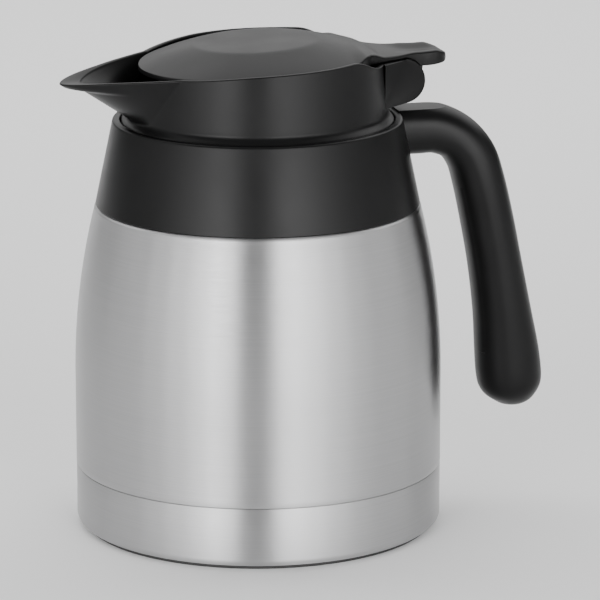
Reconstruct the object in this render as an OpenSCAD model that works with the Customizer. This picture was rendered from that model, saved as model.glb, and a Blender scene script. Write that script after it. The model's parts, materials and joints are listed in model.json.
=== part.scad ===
// Vacuum carafe with a screw-in pouring lid: a thumb lever flips the dome and lets the valve rise.
// Z is up, the origin is on the body's axis at the surface it stands on,
// the handle points along +X and the spout along -X.

/* [Steel body] */
// Largest radius of the steel body
body_r = 67.5; // [62:0.5:74]
// Height where the wall starts to draw in
belly_z = 58; // [50:1:66]
// Radius of the arc that draws the wall in
draw_in_r = 250; // [220:5:320]
// Height of the seam between steel and collar
seam_z = 120.6; // [112:0.2:128]
// Thickness of the steel sheet
steel_t = 0.8; // [0.6:0.1:1]
// Vacuum space between outer shell and flask
vacuum_gap = 6; // [4:0.5:8]
// Height of the groove where the base cup meets the wall
groove_z = 23.3; // [18:0.1:30]
// Size of the bevel on each side of that groove
groove_w = 0.5; // [0.3:0.1:0.8]
// Rounding of the steel edge at the seam
seam_edge_r = 1.6; // [1.3:0.1:2.4]
// Rounding of the base cup's lower corner
base_corner_r = 2.8; // [2:0.1:4]
// Height of the steel floor of the base cup above the ground
foot_h = 1.4; // [1:0.1:3]
// Width of the foot ring
foot_w = 14; // [8:1:20]

/* [Neck] */
// Height of the steel neck above the seam
neck_h = 20.4; // [19:0.2:22]
// How far the mouth's edge lies inside the lid's flange
mouth_inset = 6.8; // [6.5:0.1:7.2]
// Vacuum space in the neck
neck_gap = 2; // [1.6:0.1:2.2]
// Length of the straight neck inside the flask
neck_len = 15; // [13.5:0.5:18]
// Thickness of the gasket under the threaded ring
gasket_t = 1.2; // [0.8:0.1:2]
// Height of the threaded ring
ring_h = 7; // [6.6:0.1:8]
// Step from the mouth out to the threaded ring's bore
ring_step = 0.8; // [0.6:0.1:1.1]
// Wall of the threaded ring
ring_wall = 3.5; // [3:0.1:4]

/* [Collar] */
// How much the collar's radius shrinks for each millimetre of height
collar_taper = 0.21; // [0.17:0.01:0.22]
// Wall of the collar
collar_wall = 2.2; // [1.8:0.1:2.6]
// Thickness of the collar's inner web
web_t = 3; // [2.4:0.2:4]
// Rise of the collar's lip above the threaded ring
lip_rise = 2.2; // [1.5:0.1:3]
// Width of the collar's lip
lip_w = 2.6; // [2.2:0.1:3.4]
// Rounding of the collar's lip
lip_r = 1; // [0.6:0.1:1.2]
// Length of the skirt round the steel neck
skirt_len = 10; // [6:1:12]

/* [Handle] */
// Thickness of the handle's arm
arm_h = 16; // [14:0.5:18]
// Width of the handle's arm
arm_w = 19; // [16:0.5:22]
// Distance from the body's largest radius to the grip's middle at its foot
grip_out = 29.8; // [25:0.1:36]
// Reach of the handle's elbow beyond the collar
elbow_out = 20.5; // [18:0.1:23]
// Height of the grip's lower end above the ground
grip_low_z = 36.4; // [28:0.2:44]
// Width of the grip
grip_w = 25; // [22:0.5:28]
// Depth of the grip at its foot
grip_d = 24.4; // [21:0.2:27]
// Thickness of the inlay in the grip
inlay_t = 3; // [2:0.2:4]
// Width of the inlay in the grip
inlay_w = 13; // [10:0.5:16]
// Radius of a handle screw
screw_r = 1.5; // [1.2:0.1:1.6]
// Half the spacing of the handle screws
screw_y = 5.2; // [4.6:0.1:6]

/* [Lid] */
// Height of the flange's edge
flange_h = 1.8; // [1.4:0.1:2.4]
// Width of the flange outside the lid's wall
flange_w = 2.4; // [1.8:0.1:3]
// How much the lid's wall draws in from its foot to the rim
lid_draft = 2; // [1.6:0.1:2.4]
// Wall of the lid
lid_wall = 1.9; // [1.6:0.1:2.1]
// Height of the rim above the threaded ring, on the axis
rim_h = 26.9; // [25.5:0.1:28.5]
// Tilt of the dome towards the spout, in degrees
rim_tilt = 2.7; // [2:0.1:3.4]
// How far the rim lies below the dome's plane
rim_sink = 0.4; // [0.2:0.1:0.8]
// How much further it falls towards the spout
rim_fall = 1.6; // [0.8:0.1:2]
// Height of the bowl's floor above the threaded ring
floor_h = 6.2; // [5.6:0.1:7]
// Thickness of the bowl's floor
floor_t = 2.2; // [1.8:0.1:2.6]
// Radius of the pour hole in the bowl's floor
pour_r = 19.5; // [17:0.5:21]

/* [Spout] */
// Reach of the spout's tip beyond the lid's wall
spout_out = 28; // [24:0.2:32]
// Height of the spout's tip above the threaded ring
spout_tip_h = 19; // [17:0.2:21]
// Angle from the spout's middle to where it leaves the wall, in degrees
spout_root_a = 41.5; // [38:0.5:44]
// Half width of the spout at its tip
spout_tip_y = 4.6; // [3.5:0.1:6]
// Wall of the spout
spout_wall = 1.9; // [1.5:0.1:2.4]

/* [Hinge and lever] */
// Distance of the hinge pin from the lid's wall
pin_out = 6.4; // [6:0.1:7.4]
// Height of the hinge pin above the threaded ring
pin_h = 15; // [14:0.1:15.6]
// Radius of the hinge pin
pin_r = 1.5; // [1.2:0.1:1.7]
// Radius of the hinge ears
ear_r = 8.2; // [7.6:0.1:8.4]
// Half the width over the hinge ears
ear_y = 12.4; // [11.5:0.1:14]
// Thickness of a hinge ear
ear_t = 4.2; // [3.4:0.1:5]
// Radius of the lever's knuckle
knuckle_r = 4.4; // [4:0.1:4.5]
// Length of the thumb tab beyond the hinge pin
tab_len = 20; // [17:0.5:23]
// Half the width of the thumb tab
tab_y = 11.5; // [10.5:0.1:13]
// Height of the tab's top above the hinge pin
tab_h = 10.2; // [9.8:0.1:11]
// Radius of the hollow for the thumb
thumb_r = 60; // [45:1:90]
// Depth of that hollow
thumb_d = 1; // [0.6:0.1:1.3]

/* [Dome] */
// Height of the dome above the rim
dome_h = 3.8; // [3:0.1:5]
// Radius of the dome's flat top
facet_r = 23; // [19:0.5:26]
// Thickness of the dome
dome_t = 2.2; // [1.8:0.1:2.4]
// Depth of the dome's edge below the rim
dome_edge = 3.6; // [3.4:0.1:4.2]
// Thickness of the dome's liner
liner_t = 1.8; // [1.4:0.1:2.2]

/* [Stopper and valve] */
// Length of the stopper below the threaded ring's top
stopper_len = 22.5; // [20:0.5:24]
// Wall of the stopper
stopper_wall = 3.4; // [3:0.2:4.4]
// Thickness of the stopper's floor
seat_t = 2.5; // [2:0.1:3]
// Radius of the hole that the valve closes
seat_r = 14; // [12:0.5:15]
// Radius of the valve's head
head_r = 19; // [17.5:0.5:22]
// Thickness of the valve's head
head_t = 2.6; // [2:0.1:3.4]
// Radius of the valve's stem
stem_r = 2.8; // [2.2:0.1:3.2]
// Length of the valve's stem above its head
stem_len = 27.6; // [27.2:0.1:28]
// Radius of the stem's cap
cap_r = 8; // [7.5:0.1:9]
// Thickness of the stem's cap
cap_t = 2.5; // [2:0.1:3]
// Thickness of the stopper's seal
seal_t = 4; // [3:0.2:5]
// Lead of the lid's thread, the rise for one turn
thread_lead = 8; // [7:0.5:9]
// Height of a thread tooth
tooth_h = 1.6; // [1.2:0.1:1.8]
// Depth of a thread tooth beyond the stopper's wall
tooth_d = 1.6; // [1.2:0.1:1.8]
// Turns of the valve spring
valve_turns = 4.5; // [3:0.5:5]
// Wire of the valve spring
valve_wire = 0.9; // [0.7:0.1:1.1]

/* [Fits] */
// Gap round pieces that screw or drop into each other
loose_gap = 0.5; // [0.4:0.05:0.6]
// Gap between faces that just miss each other
close_gap = 0.3; // [0.25:0.05:0.4]
// Gap round a pin or a stem in its bore
run_gap = 0.06; // [0.03:0.01:0.09]

/* [Hidden] */
$fn = 96;

steel_c = [0.74, 0.74, 0.75];
black_c = [0.09, 0.09, 0.09];
dark_c = [0.16, 0.16, 0.17];
soft_c = [0.55, 0.55, 0.53];
far = 400;

// Steps along a curved profile
profile_steps = 16;

grip_x = body_r + grip_out;
neck_top_z = seam_z + neck_h;
mouth_z = neck_top_z + steel_t;
ring_z = mouth_z + gasket_t;
deck_z = ring_z + ring_h;
collar_r0 = shell_r(seam_z);
rim_z = deck_z + rim_h;
floor_z = deck_z + floor_h;
pin_z = deck_z + pin_h;
lip_z = deck_z + lip_rise;
recess_r = collar_r(lip_z) - lip_w;
flange_r = recess_r - close_gap;
lid_foot_r = flange_r - flange_w;
lid_top_r = lid_foot_r - lid_draft;
mouth_r = flange_r - mouth_inset;
neck_r = mouth_r + steel_t + neck_gap;
ring_bore_r = mouth_r + ring_step;
ring_out_r = ring_bore_r + ring_wall;
spout_reach = lid_top_r + spout_out;
pin_x = lid_top_r + pin_out;
tab_x = pin_x + tab_len;
stopper_r = ring_bore_r - loose_gap;
plug_r = mouth_r - loose_gap - close_gap;
slot_y = ear_y - ear_t;
knuckle_y = slot_y - close_gap;
rim_in_r = lid_top_r - lid_wall;

// Radius of the steel wall at height z
function shell_r(z) =
    z < belly_z ? body_r : body_r - draw_in_r + sqrt(pow(draw_in_r, 2) - pow(z - belly_z, 2));
function collar_r(z) = collar_r0 - collar_taper * (z - seam_z);
function arc(cx, cz, r, a0, a1, steps = 6) =
    [for (i = [0:steps]) let (a = a0 + (a1 - a0) * i / steps) [cx + r * cos(a), cz + r * sin(a)]];
function reversed(list) = [for (i = [len(list) - 1:-1:0]) list[i]];
// Height of the lid's rim at x
function rim_at(x) =
    rim_z + x * tan(rim_tilt) - rim_sink - rim_fall * max(0, min(1, -x / (lid_top_r - 10)));
// Signed power, for cross-sections between an ellipse and a rectangle
function spow(v, e) = sign(v) * pow(abs(v), e);
// Smooth curve through the rows of a list, at u counted in rows
function blend4(a, b, c, d, t) =
    0.5 * (2 * b + (c - a) * t + (2 * a - 5 * b + 4 * c - d) * t * t + (3 * b - a - 3 * c + d) * t * t * t);
function along(list, u) =
    let (n = len(list) - 1, i = min(floor(u), n - 1))
    blend4(list[max(i - 1, 0)], list[i], list[i + 1], list[min(i + 2, n)], u - i);

// Closed skin over rings of points, each ring with as many points
module skin(rings) {
    n = len(rings[0]);
    last = (len(rings) - 1) * n;
    sides = [
        for (i = [0:len(rings) - 2], j = [0:n - 1])
            let (a = i * n + j, b = i * n + (j + 1) % n)
                each [[a, b, a + n], [b, b + n, a + n]]
    ];
    near_cap = [for (j = [1:n - 2]) [0, j + 1, j]];
    far_cap = [for (j = [1:n - 2]) [last, last + j, last + j + 1]];
    polyhedron(points = [for (r = rings) each r], faces = concat(sides, near_cap, far_cap));
}

module tube(r_out, r_in, z0, z1) {
    translate([0, 0, z0])
        difference() {
            cylinder(r = r_out, h = z1 - z0);
            translate([0, 0, -1])
                cylinder(r = r_in, h = z1 - z0 + 2);
        }
}

// Cylinder along Y, centred on y = 0
module cross_bar(x, z, r, half) {
    translate([x, half, z])
        rotate([90, 0, 0])
            cylinder(r = r, h = 2 * half);
}

// Outline in the XZ plane, extruded half to each side of y = 0
module side_slab(points, half) {
    translate([0, half, 0])
        rotate([90, 0, 0])
            linear_extrude(2 * half)
                polygon(points);
}

// Steel wall, from the groove to the top of the neck, moved inwards by off
ledge_r = shell_r(seam_z) - 4;
shoulder_z = seam_z + 11;
function wall_path(off) =
    let (edge_z = seam_z - seam_edge_r, edge_x = shell_r(edge_z) - seam_edge_r)
    concat(
        [for (i = [0:profile_steps])
            let (z = groove_z + groove_w + (edge_z - groove_z - groove_w) * i / profile_steps)
                [shell_r(z) - off, z]],
        [for (a = [15:15:90])
            [edge_x + (seam_edge_r - off) * cos(a), edge_z + (seam_edge_r - off) * sin(a)]],
        [[ledge_r - off / 2, seam_z - off], [neck_r - off, shoulder_z - off / 2],
         [neck_r - off, neck_top_z]]
    );

module outer_shell() {
    foot = [[body_r - steel_t, groove_z], [body_r - groove_w, groove_z]];
    color(steel_c)
        rotate_extrude()
            polygon(concat(foot, wall_path(0), reversed(wall_path(steel_t))));
}

// Base cup: the lowest band of the wall and the steel floor
module base_cup() {
    r = body_r - 0.1;
    c = base_corner_r;
    color(steel_c)
        rotate_extrude()
            polygon(concat(
                [[0, foot_h]],
                arc(r - c, foot_h + c, c, -90, 0),
                [[r, groove_z - groove_w], [r - groove_w, groove_z], [r - steel_t, groove_z]],
                arc(r - c, foot_h + c, c - steel_t, 0, -90),
                [[0, foot_h + steel_t]]
            ));
}

// Flask: floor, wall, shoulder and neck with a lip that lies on the shell's neck
flask_floor_z = foot_h + steel_t + 8;
flask_corner_r = 14;
function flask_path(off) =
    let (r = body_r - vacuum_gap, c = flask_corner_r, top = seam_z - vacuum_gap - 8)
    concat(
        [[0, flask_floor_z + off]],
        [for (a = [-90:15:0])
            [r - c + (c - off) * cos(a), flask_floor_z + c + (c - off) * sin(a)]],
        [for (i = [0:profile_steps])
            let (z = belly_z + (top - belly_z) * i / profile_steps)
                [shell_r(z) - vacuum_gap - off, z]],
        [[mouth_r + steel_t - off, mouth_z - neck_len - off / 2], [mouth_r + steel_t - off, mouth_z]]
    );

module inner_flask() {
    out = flask_path(0);
    last = len(out) - 1;
    body = [for (i = [0:last - 1]) out[i]];
    lip = [[mouth_r + steel_t, neck_top_z], [neck_r, neck_top_z], [neck_r, mouth_z]];
    color(steel_c)
        rotate_extrude()
            polygon(concat(body, lip, reversed(flask_path(steel_t))));
}

plug_spot_r = 7;
module vacuum_plug() {
    color(dark_c)
        translate([0, 0, foot_h - 0.8])
            cylinder(r = plug_spot_r, h = 0.8);
}

getter_x = 25;
getter_r = 5;
module getter() {
    color(dark_c)
        translate([getter_x, 0, foot_h + steel_t])
            cylinder(r = getter_r, h = 2);
}

module foot_ring() {
    r = body_r - base_corner_r - 0.3;
    edge = 0.5;
    color(black_c)
        rotate_extrude()
            polygon([
                [r - foot_w, 0], [r - edge, 0], [r, edge], [r, foot_h], [r - foot_w, foot_h]
            ]);
}

// Collar: cone outside, web over the mouth inside, skirt round the steel neck
module collar() {
    top_r = collar_r(lip_z);
    web_z = ring_z;
    skirt_r = neck_r + close_gap;
    skirt_out_r = skirt_r + collar_wall;
    color(black_c)
        difference() {
            rotate_extrude()
                polygon(concat(
                    [[collar_r(seam_z) - collar_wall, seam_z], [collar_r(seam_z) - 0.4, seam_z],
                     [collar_r(seam_z + 0.4), seam_z + 0.4]],
                    arc(top_r - lip_r, lip_z - lip_r, lip_r, 0, 90),
                    [[recess_r + 0.6, lip_z], [recess_r, lip_z - 0.6], [recess_r, web_z + web_t],
                     [ring_out_r, web_z + web_t], [ring_out_r, web_z],
                     [skirt_r, web_z], [skirt_r, web_z - skirt_len], [skirt_out_r, web_z - skirt_len],
                     [skirt_out_r, web_z], [collar_r(web_z) - collar_wall, web_z]]
                ));
            screw_row(screw_r + 0.1, screw_x - 1, screw_len);
        }
}

module mouth_gasket() {
    color(soft_c)
        tube(neck_r, mouth_r + 0.4, mouth_z, ring_z);
}

// Teeth of the two-start thread: grow swells the same tooth into its groove
tooth_z = ring_z + 2.6;
tooth_span = 70;
groove_span = 330;
function helix_ring(r0, r1, h, z, a) =
    [for (q = [[r0, -h / 2], [r1, -h / 4], [r1, h / 4], [r0, h / 2]])
        [q[0] * cos(a), q[0] * sin(a), z + q[1]]];
module thread(start, span, grow) {
    steps = ceil(span / 6);
    skin([
        for (i = [0:steps])
            let (a = start + span * i / steps)
                helix_ring(stopper_r - 1, stopper_r + tooth_d + grow, tooth_h + 3 * grow,
                    tooth_z + thread_lead * (a - start - (grow > 0 ? 4 : 0)) / 360, a)
    ]);
}

module neck_ring() {
    color(dark_c)
        difference() {
            tube(ring_out_r, ring_bore_r, ring_z, deck_z);
            for (s = [0, 180])
                thread(s - 4, groove_span, close_gap);
        }
}

// Stations along the handle: centre x, centre z, half depth, half width, squareness
arm_z = lip_z + 0.7 - arm_h / 2;
grip_z = grip_low_z + 13.6;
drop = arm_z - grip_z;
elbow_x = collar_r(arm_z) + elbow_out;
lean = grip_x - elbow_x;
handle_rows = [
    [collar_r(arm_z) - 4, arm_z, arm_h / 2, arm_w / 2, 0.62],
    [collar_r(arm_z) + 4, arm_z, arm_h / 2, arm_w / 2, 0.62],
    [elbow_x - 7.5, arm_z - 0.7, arm_h / 2 - 0.4, arm_w / 2 + 0.5, 0.66],
    [elbow_x + 0.6, arm_z - 4.6, arm_h / 2 + 0.8, arm_w / 2 + 1.4, 0.74],
    [elbow_x + lean * 0.28, arm_z - 0.118 * drop, 9.2, grip_w / 2 - 0.8, 0.82],
    [elbow_x + lean * 0.43, arm_z - 0.22 * drop, 9.4, grip_w / 2 - 0.3, 0.86],
    [elbow_x + lean * 0.59, arm_z - 0.37 * drop, 9.6, grip_w / 2, 0.88],
    [elbow_x + lean * 0.75, arm_z - 0.55 * drop, 9.8, grip_w / 2, 0.88],
    [elbow_x + lean * 0.88, arm_z - 0.74 * drop, grip_d / 2 - 1.6, grip_w / 2, 0.88],
    [elbow_x + lean * 0.96, arm_z - 0.9 * drop, grip_d / 2 - 0.4, grip_w / 2, 0.88],
    [grip_x, grip_z, grip_d / 2, grip_w / 2, 0.88],
    [grip_x + 0.7, grip_z - 5.5, grip_d / 2 - 0.8, grip_w / 2 - 0.7, 0.88],
    [grip_x + 1.1, grip_z - 9.4, grip_d / 2 - 3.3, grip_w / 2 - 3, 0.9],
    [grip_x + 1.2, grip_z - 12.2, grip_d / 2 - 6.9, grip_w / 2 - 6.6, 0.95],
    [grip_x + 1.2, grip_z - 13.6, 2, 2, 1]
];
handle_sides = 28;
handle_steps = 3;
function handle_ring(u) =
    let (
        q = along(handle_rows, u),
        t = along(handle_rows, min(u + 0.05, len(handle_rows) - 1)) - along(handle_rows, max(u - 0.05, 0)),
        len_t = norm([t[0], t[1]]),
        nx = -t[1] / len_t,
        nz = t[0] / len_t
    )
    [for (k = [0:handle_sides - 1])
        let (a = 360 * k / handle_sides, d = q[2] * spow(cos(a), q[4]), w = q[3] * spow(sin(a), q[4]))
            [q[0] + nx * d, w, q[1] + nz * d]];

module handle_form() {
    steps = handle_steps * (len(handle_rows) - 1);
    skin([for (i = [0:steps]) handle_ring(i / handle_steps)]);
}

// Slab along the inner side of the grip, at depth t under its surface, longer by grow at both ends
inlay_from = 5;
inlay_to = 9;
module inlay_slab(t, half, grow) {
    rows = [for (u = [inlay_from:0.5:inlay_to]) along(handle_rows, u)];
    last = len(rows) - 1;
    edge = [
        for (i = [0:last])
            let (q = rows[i], step = i == 0 ? grow : i == last ? -grow : 0)
                [q[0] - q[2] + t, q[1] + step]
    ];
    side_slab(concat([[edge[0][0] - 14, edge[0][1]]], edge, [[edge[last][0] - 14, edge[last][1]]]), half);
}

screw_head_r = screw_r * 1.7;
screw_z = ring_z - screw_head_r - 0.4;
screw_len = 16;
screw_seat_r = collar_r(screw_z + screw_head_r) - collar_wall;
screw_x = sqrt(pow(screw_seat_r, 2) - pow(screw_y + screw_head_r, 2)) - 1.1;
module screw_row(r, x0, length) {
    for (y = [-screw_y, screw_y])
        translate([x0, y, screw_z])
            rotate([0, 90, 0])
                cylinder(r = r, h = length, $fn = 24);
}

module handle() {
    color(black_c)
        difference() {
            handle_form();
            cylinder(r1 = collar_r(0), r2 = collar_r(rim_z), h = rim_z);
            inlay_slab(inlay_t + 0.1, inlay_w / 2 + 0.1, 0.1);
            screw_row(screw_r, screw_x, screw_len + 0.5);
        }
}

module handle_inlay() {
    color(black_c)
        intersection() {
            handle_form();
            inlay_slab(inlay_t, inlay_w / 2, 0);
        }
}

module handle_screws() {
    color(steel_c) {
        screw_row(screw_r, screw_x, screw_len);
        screw_row(screw_head_r, screw_x - 0.6, 1.6);
    }
}

// Lid wall, flange and bowl floor before the spout and hinge are added
module lid_turned() {
    foot_z = deck_z + 5.5;
    high = rim_z + 4;
    fillet = [for (i = [0:6])
        let (t = i / 6)
            [flange_r - 0.4 - (flange_r - 0.4 - lid_foot_r) * sin(90 * t),
             deck_z + flange_h + (foot_z - deck_z - flange_h) * (1 - cos(90 * t))]];
    rotate_extrude()
        polygon(concat(
            [[stopper_r + 0.1, deck_z], [flange_r - 0.4, deck_z], [flange_r, deck_z + 0.4],
             [flange_r, deck_z + flange_h - 0.4]],
            fillet,
            [[lid_top_r, high], [lid_top_r - lid_wall, high], [lid_foot_r - lid_wall, floor_z + 1.5],
             [lid_foot_r - lid_wall - 1.5, floor_z], [pour_r, floor_z], [pour_r, floor_z - floor_t],
             [stopper_r + 0.1, floor_z - floor_t]]
        ));
}

// Wedge of the spout, drawn in by off on every side
module spout_wedge(off, lift) {
    tip_z = deck_z + spout_tip_h;
    root_x = (lid_top_r + 1.1) * cos(spout_root_a);
    root_y = (lid_top_r + 1.1) * sin(spout_root_a) - 1.2 * off;
    r = 0.9;
    points = [
        [-spout_reach + r + 1.4 * off, spout_tip_y * 0.5 - off * 0.2, tip_z + lift - r],
        [-spout_reach + r + 2.2 + off, spout_tip_y - off * 0.7, tip_z + 0.3 + lift - r],
        [-root_x, root_y, tip_z + 6.4 + lift - r],
        [-spout_reach + 6.8 + 1.2 * off, 1.2, tip_z - 2 + off],
        [-lid_top_r - 4.4 + 0.6 * off, 1.4, deck_z + 5.6 + 1.2 * off],
        [-lid_foot_r + 4 + off, 14 - off, deck_z + 3.6 + 1.2 * off],
        [1 - root_x, root_y - 2, deck_z + 20]
    ];
    hull()
        for (p = points, s = [-1, 1])
            translate([p[0], s * p[1], p[2]])
                sphere(r = r, $fn = 16);
}

// Everything above the rim, with the dip that lets the lever through
dip_from = 19.6;
dip_to = 5.6;
module above_rim() {
    dip_z = pin_z + ear_r - 0.3;
    low_x = 10 - lid_top_r;
    x0 = lid_top_r - dip_from;
    x1 = lid_top_r - dip_to;
    side_slab(concat(
        [[-far, rim_at(low_x)], [low_x, rim_at(low_x)], [0, rim_at(0)], [x0, rim_at(x0)]],
        [for (i = [1:8])
            let (t = i / 8)
                [x0 + (x1 - x0) * t, rim_at(x0) + (dip_z - rim_at(x0)) * (1 - cos(180 * t)) / 2]],
        [[far, dip_z], [far, far], [-far, far]]
    ), far);
}

// Ears of the hinge: discs round the pin with a web that widens into the wall
ear_root_y = 20;
module hinge_ears() {
    difference() {
        intersection() {
            union() {
                cross_bar(pin_x, pin_z, ear_r, ear_root_y);
                side_slab([
                    [lid_top_r - 4, pin_z - ear_r], [pin_x, pin_z - ear_r], [pin_x, pin_z + ear_r],
                    [lid_top_r - 4, pin_z + ear_r]
                ], ear_root_y);
            }
            translate([0, 0, deck_z])
                linear_extrude(far)
                    polygon([
                        [lid_top_r - 5, -ear_root_y], [lid_top_r - 1, -ear_root_y + 1], [pin_x + 1, -ear_y],
                        [far, -ear_y], [far, ear_y], [pin_x + 1, ear_y], [lid_top_r - 1, ear_root_y - 1],
                        [lid_top_r - 5, ear_root_y]
                    ]);
        }
        translate([0, 0, deck_z])
            cylinder(r = rim_in_r + 0.8, h = far);
    }
}

lever_notch_z = pin_z + 5;
module lid_body() {
    color(black_c)
        difference() {
            union() {
                lid_turned();
                hinge_ears();
                difference() {
                    spout_wedge(0, 0);
                    translate([0, 0, deck_z])
                        cylinder(r = rim_in_r + 0.6, h = far);
                }
            }
            spout_wedge(spout_wall, 9);
            above_rim();
            translate([pin_x - knuckle_r - close_gap, -slot_y, deck_z + flange_h + 3])
                cube([far, 2 * slot_y, far]);
            translate([rim_in_r - 6, -slot_y, lever_notch_z])
                cube([far, 2 * slot_y, far]);
            cross_bar(pin_x, pin_z, pin_r, ear_y + 1);
        }
}

// Stopper: threaded sleeve under the bowl, plug inside the neck, floor with the valve's seat
seal_z = deck_z - 17.5;
seat_z = deck_z - stopper_len + 6;
module stopper() {
    low_z = deck_z - stopper_len;
    in_r = plug_r - stopper_wall;
    top_z = floor_z - floor_t;
    color(black_c)
        union() {
            rotate_extrude()
                polygon([
                    [in_r, low_z], [plug_r - 0.6, low_z], [plug_r, low_z + 0.6],
                    [plug_r, seal_z], [plug_r - 1.6, seal_z], [plug_r - 1.6, seal_z + seal_t],
                    [plug_r, seal_z + seal_t], [plug_r, mouth_z], [stopper_r, mouth_z + 0.8],
                    [stopper_r, top_z], [in_r, top_z], [in_r, seat_z], [seat_r, seat_z],
                    [seat_r, seat_z - seat_t], [in_r, seat_z - seat_t]
                ]);
            for (s = [0, 180])
                thread(s, tooth_span, 0);
        }
}

module stopper_seal() {
    color(soft_c)
        rotate_extrude()
            polygon([
                [plug_r - 1.5, seal_z + 0.1], [plug_r, seal_z + 0.1],
                [mouth_r - close_gap, seal_z + seal_t / 2],
                [plug_r, seal_z + seal_t - 0.1], [plug_r - 1.5, seal_z + seal_t - 0.1]
            ]);
}

// Guide: ring on the bowl's floor with three arms and the stem's bore
guide_t = 3.4;
module valve_guide() {
    hub_r = stem_r + 3.4;
    ring_r = pour_r - close_gap;
    z0 = floor_z - floor_t;
    color(dark_c)
        difference() {
            union() {
                tube(ring_r, ring_r - 1.6, z0, floor_z);
                tube(ring_r + 2, ring_r - 1.6, floor_z, floor_z + 1.2);
                translate([0, 0, z0])
                    cylinder(r = hub_r, h = guide_t);
                for (a = [60, 180, 300])
                    rotate([0, 0, a])
                        translate([0, -1.4, z0])
                            cube([ring_r - 0.8, 2.8, floor_t]);
            }
            translate([0, 0, z0 - 1])
                cylinder(r = stem_r + run_gap, h = guide_t + 2);
        }
}

// Wire wound into a helix along Z, with straight lead-in at both ends
module coil(r, wire, turns, z0, z1) {
    rings = 16;
    count = ceil(turns * rings);
    function ring_at(u) =
        let (a = 360 * turns * u, tilt = atan((z1 - z0) / (2 * PI * r * turns)))
        [for (k = [0:5])
            let (b = 60 * k, d = r + wire / 2 * cos(b), w = wire / 2 * sin(b))
                [d * cos(a) + w * sin(tilt) * sin(a), d * sin(a) - w * sin(tilt) * cos(a),
                 z0 + (z1 - z0) * u + w * cos(tilt)]];
    skin([for (i = [0:count]) ring_at(i / count)]);
}

spring_z0 = floor_z - floor_t + guide_t;
valve_gasket_t = 1.8;
head_z = seat_z + close_gap + valve_gasket_t;
cap_z = head_z + head_t + stem_len;
module valve_spring() {
    color(steel_c)
        coil(stem_r + 1.6, valve_wire, valve_turns, spring_z0 + valve_wire, cap_z - valve_wire);
}

module valve_stem() {
    color(dark_c)
        translate([0, 0, head_z]) {
            cylinder(r = head_r, h = head_t);
            cylinder(r = stem_r + 2, h = head_t + 2);
            cylinder(r = stem_r, h = cap_z - head_z);
        }
}

// Gasket under the valve's head: it reaches over both sides of the seat's edge
valve_gasket_out = 3.4;
valve_gasket_in = 2;
module valve_gasket() {
    color(soft_c)
        tube(seat_r + valve_gasket_out, seat_r - valve_gasket_in, seat_z + close_gap, head_z);
}

module stem_cap() {
    color(dark_c)
        translate([0, 0, cap_z])
            cylinder(r = cap_r, h = cap_t);
}

// Dome, in the rim's tilted plane
dome_shift = -0.6;
dome_r = rim_in_r - 0.9;
edge_in_r = dome_r - 1.6;
liner_rest_w = 8.7;
seat_in_r = edge_in_r - liner_rest_w;
seat_depth = 3.2;
module in_rim_plane() {
    translate([dome_shift, 0, rim_z])
        rotate([0, -rim_tilt, 0])
            children();
}
function dome_top() =
    let (e = dome_r - facet_r)
    concat(
        [[0, dome_h], [facet_r - 0.8, dome_h - 0.1], [facet_r + 0.4, dome_h - 0.35]],
        [for (i = [1:10])
            let (t = i / 10)
                [facet_r + 0.4 + (e - 0.4) * t,
                 dome_h - 0.35 - (dome_h - 0.35 + 1.9) * (0.72 * t + 0.28 * t * t)]]
    );

module dome() {
    in_rim_plane()
        rotate_extrude()
            polygon(concat(
                reversed(dome_top()),
                [[0, dome_h - dome_t], [facet_r - 1, dome_h - dome_t], [seat_in_r, -1.4],
                 [seat_in_r, -seat_depth], [edge_in_r, -seat_depth], [edge_in_r, -dome_edge],
                 [dome_r, -dome_edge]]
            ));
}

// Lever: plate over the ears, web down to the knuckle between them
tab_end_r = 9;
tab_corner_r = 2;
neck_y = 8.6;
module lever() {
    top_z = pin_z + tab_h;
    ear_clear = ear_r + 0.6;
    neck_x = lid_top_r - 8;
    plate = concat(
        [[neck_x, top_z + 0.6], [neck_x, top_z - 1.6], [pin_x - 5, pin_z + ear_clear]],
        arc(pin_x, pin_z, ear_clear, 90, 12, 8),
        [[pin_x + 11, pin_z + 1.6], [tab_x - 2, pin_z + 4.2], [tab_x - 0.4, pin_z + 5.2],
         [tab_x, pin_z + 6.4], [tab_x - 0.6, pin_z + 7.6], [tab_x - 3, top_z - 1],
         [tab_x - 9, top_z], [pin_x + 4, top_z], [pin_x - 5, top_z - 0.4]]
    );
    intersection() {
        side_slab(plate, tab_y);
        linear_extrude(far)
            polygon(concat(
                [[neck_x, neck_y], [neck_x, -neck_y], [pin_x - 6, -neck_y], [pin_x + 4, 0.4 - tab_y]],
                arc(tab_x - tab_end_r - 1, tab_corner_r - tab_y, tab_corner_r, -90, -75, 2),
                arc(tab_x - tab_end_r, 0, tab_end_r, -65, 65, 8),
                arc(tab_x - tab_end_r - 1, tab_y - tab_corner_r, tab_corner_r, 75, 90, 2),
                [[pin_x + 4, tab_y - 0.4], [pin_x - 6, neck_y]]
            ));
    }
    side_slab([
        [neck_x, top_z - 1.4], [neck_x, lever_notch_z + 0.6], [pin_x - 4, lever_notch_z + 0.6],
        [pin_x - 3.4, pin_z + 2.2], [pin_x + 2, pin_z - knuckle_r + 0.6], [pin_x + 9, pin_z + 2.4],
        [pin_x + 9, top_z - 3], [pin_x + 3, top_z - 0.6]
    ], knuckle_y);
    cross_bar(pin_x, pin_z, knuckle_r, knuckle_y);
}

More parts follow.
